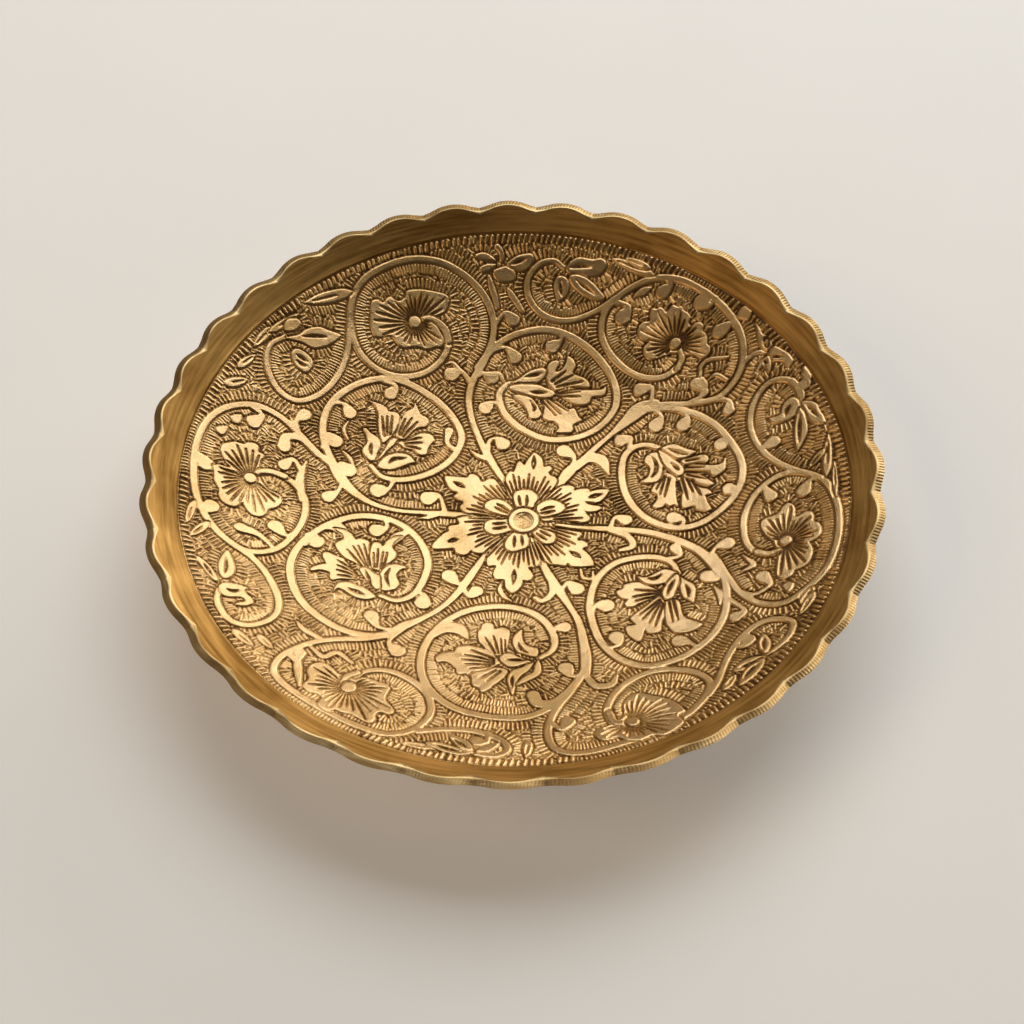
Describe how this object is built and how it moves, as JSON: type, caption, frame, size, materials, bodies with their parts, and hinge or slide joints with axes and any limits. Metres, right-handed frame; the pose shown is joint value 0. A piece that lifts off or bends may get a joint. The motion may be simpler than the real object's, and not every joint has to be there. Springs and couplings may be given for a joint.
{
  "type": "decorative plate",
  "caption": "Shallow round brass dish with a flared, scalloped lip and chased floral scrollwork inside, standing on a low foot ring.",
  "frame": {"origin": "centre of the foot ring's underside, on the plane that the plate stands on", "axes": "+Z is the dish's axis, pointing up out of the bowl; +X passes through the tip of one lobe of the lip"},
  "size_m": [0.178, 0.178, 0.0257],
  "materials": {
    "dish_brass": "chased and polished, dark patina in the recesses",
    "foot_brass": "turned, dulled by handling",
    "solder": "dull grey soft solder"
  },
  "bodies": {
    "root": {"dish_body": "dish_brass", "foot_ring": "foot_brass", "solder_seam": "solder"}
  },
  "joints": []
}
